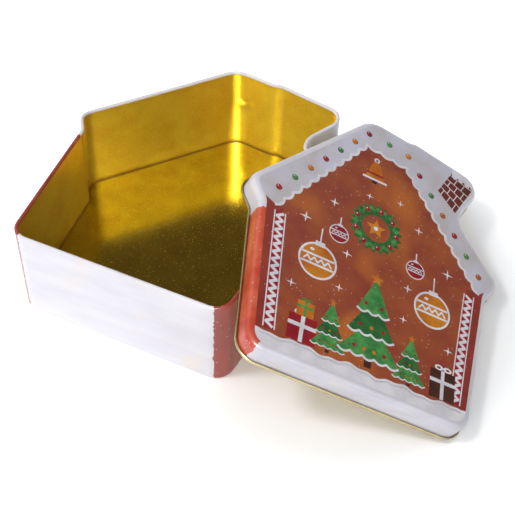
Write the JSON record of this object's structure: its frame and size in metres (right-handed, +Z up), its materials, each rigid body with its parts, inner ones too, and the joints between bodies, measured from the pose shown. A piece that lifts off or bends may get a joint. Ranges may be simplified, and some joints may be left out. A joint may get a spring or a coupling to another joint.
{
  "type": "christmas tin box",
  "caption": "House-shaped tinplate gift tin: a deep open tub with a rolled rim and a printed slip lid that leans off its side",
  "frame": {"origin": "on the underside of the flat ring the tub stands on, at the middle of the front wall's stretch of it", "axes": "+Z up through the open tub, +Y from the straight front wall towards the roof peak, +X towards the chimney side, where the lid leans"},
  "size_m": [0.2999, 0.2228, 0.0888],
  "materials": {
    "printed_wall": "glossy printed white and red outside, gold lacquer inside",
    "gold_lacquer": "glossy transparent gold lacquer over bright tinplate",
    "printed_lid": "glossy printed brown, white, red and green outside, gold lacquer inside and on the curl"
  },
  "bodies": {
    "root": {"body_wall": "printed_wall", "bottom_plate": "gold_lacquer", "lid": "printed_lid"}
  },
  "joints": []
}
